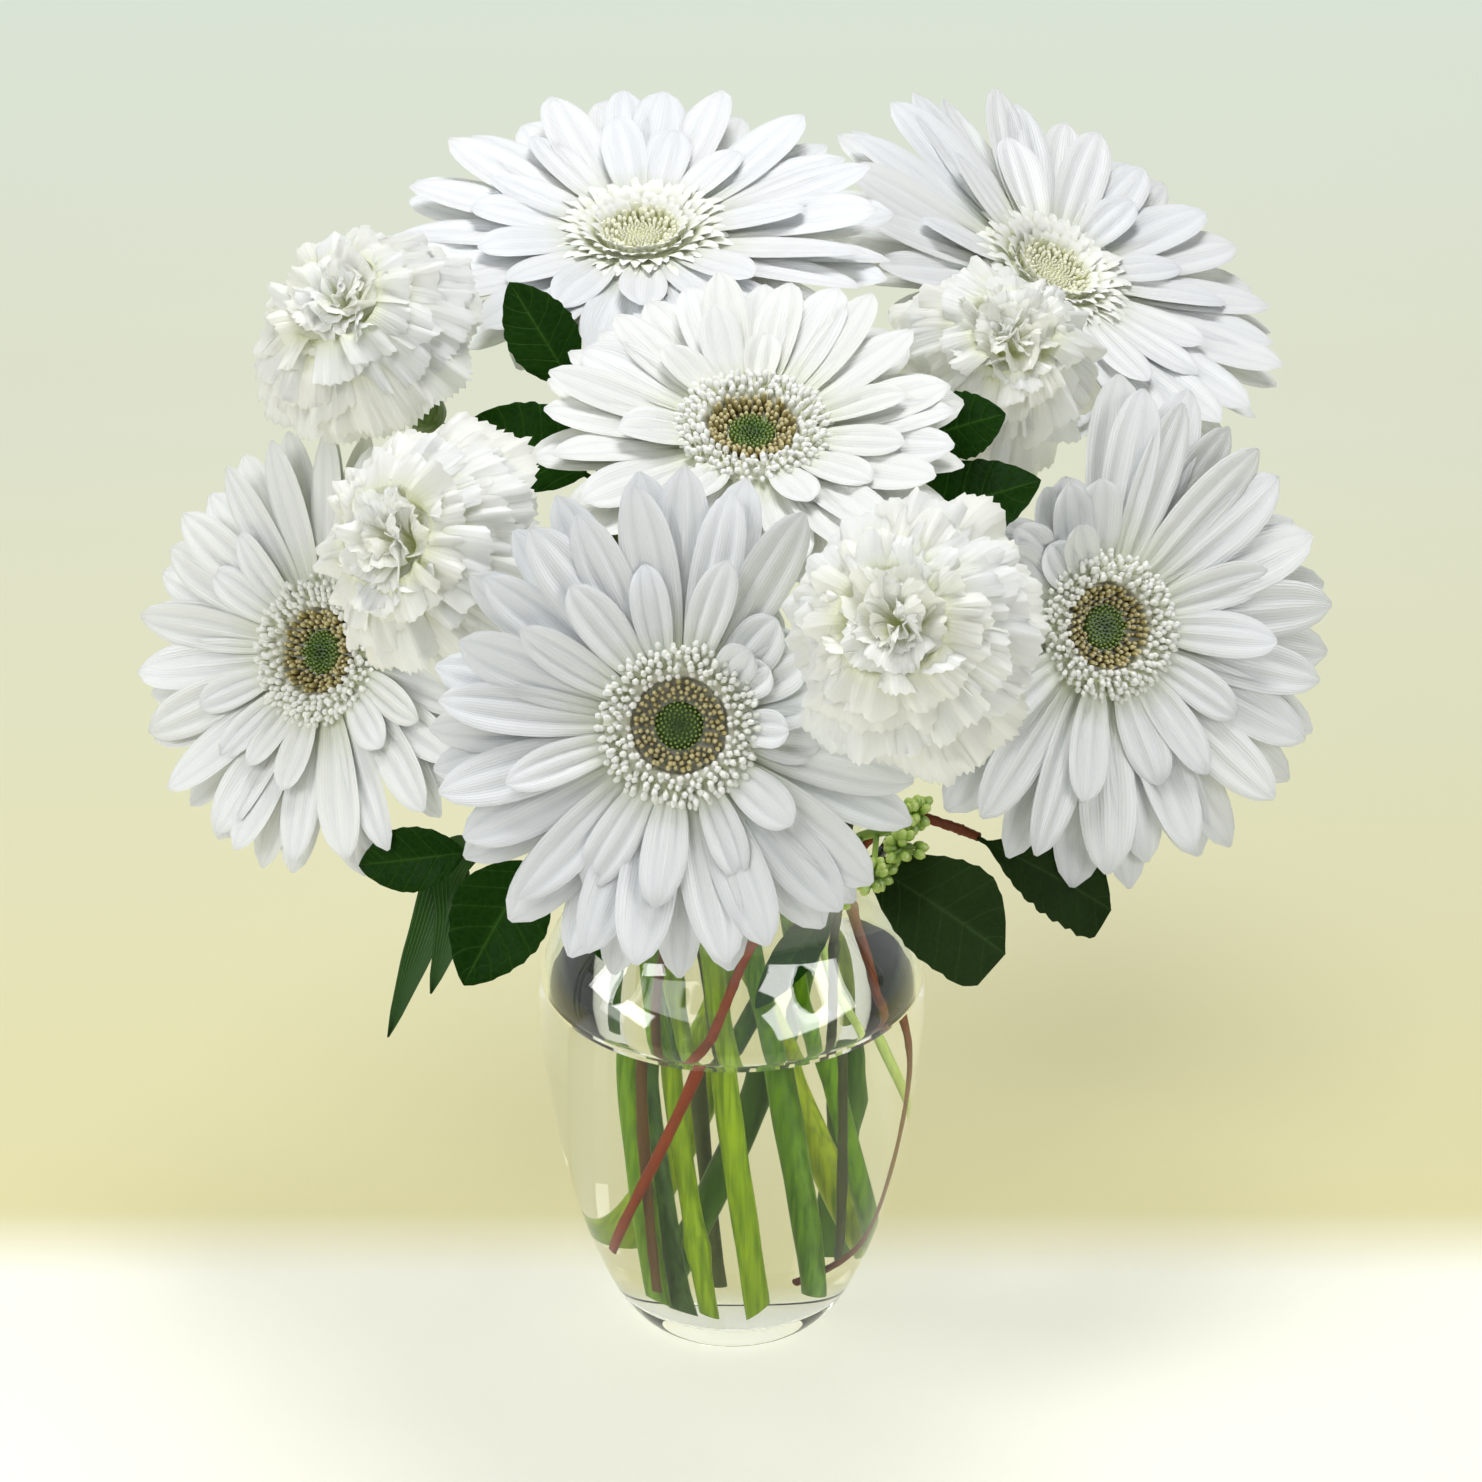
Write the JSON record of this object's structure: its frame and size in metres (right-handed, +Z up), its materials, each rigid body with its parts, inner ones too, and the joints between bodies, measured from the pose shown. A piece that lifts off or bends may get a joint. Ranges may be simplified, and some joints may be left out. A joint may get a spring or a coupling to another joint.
{
  "type": "flower arrangement",
  "caption": "White gerberas and carnations with dark green leaves in a clear glass vase of water.",
  "frame": {"origin": "centre of the vase's foot, on the surface that it stands on", "axes": "+Z up through the vase's neck, +X to the right and -Y to the front of the bouquet"},
  "size_m": [0.3063, 0.3382, 0.2818],
  "materials": {
    "vase_glass": "smooth clear glass",
    "water": "still clear water",
    "white_petal": "satin petals with fine lengthwise ribs",
    "cream_petal": "soft ruffled petals",
    "brown_floret": "dense small florets, matt",
    "green_eye": "dense green buds, matt",
    "green_stem": "smooth green stem, satin",
    "leaf": "veined dark green leaf, semi-gloss",
    "strap_leaf": "smooth long leaf, satin",
    "twig": "thin woody bark, matt",
    "filler_bud": "small yellow-green buds, satin"
  },
  "bodies": {
    "root": {"gerbera_1_rays": "white_petal", "gerbera_1_florets": "brown_floret", "gerbera_1_eye": "green_eye", "gerbera_1_stem": "green_stem", "gerbera_2_rays": "white_petal", "gerbera_2_florets": "brown_floret", "gerbera_2_eye": "green_eye", "gerbera_2_stem": "green_stem", "gerbera_3_rays": "white_petal", "gerbera_3_florets": "brown_floret", "gerbera_3_eye": "green_eye", "gerbera_3_stem": "green_stem", "gerbera_4_rays": "white_petal", "gerbera_4_florets": "brown_floret", "gerbera_4_eye": "green_eye", "gerbera_4_stem": "green_stem", "gerbera_5_rays": "white_petal", "gerbera_5_florets": "brown_floret", "gerbera_5_eye": "green_eye", "gerbera_5_stem": "green_stem", "gerbera_6_rays": "white_petal", "gerbera_6_florets": "brown_floret", "gerbera_6_eye": "green_eye", "gerbera_6_stem": "green_stem", "carnation_1_petals": "cream_petal", "carnation_1_stem": "green_stem", "carnation_2_petals": "cream_petal", "carnation_2_stem": "green_stem", "carnation_3_petals": "cream_petal", "carnation_3_stem": "green_stem", "carnation_4_petals": "cream_petal", "carnation_4_stem": "green_stem", "red_twig": "twig", "leaf_1": "leaf", "brown_twig": "twig", "leaf_2": "leaf", "leaf_3": "leaf", "leaf_4": "leaf", "dark_twig": "twig", "leaf_5": "leaf", "leaf_6": "leaf", "leaf_7": "leaf", "curved_twig": "twig", "leaf_8": "leaf", "green_twig": "twig", "leaf_9": "leaf", "leaf_10": "leaf", "leaf_11": "leaf", "strap_leaf": "strap_leaf", "filler_spray": "filler_bud", "vase": "vase_glass", "water": "water"}
  },
  "joints": []
}
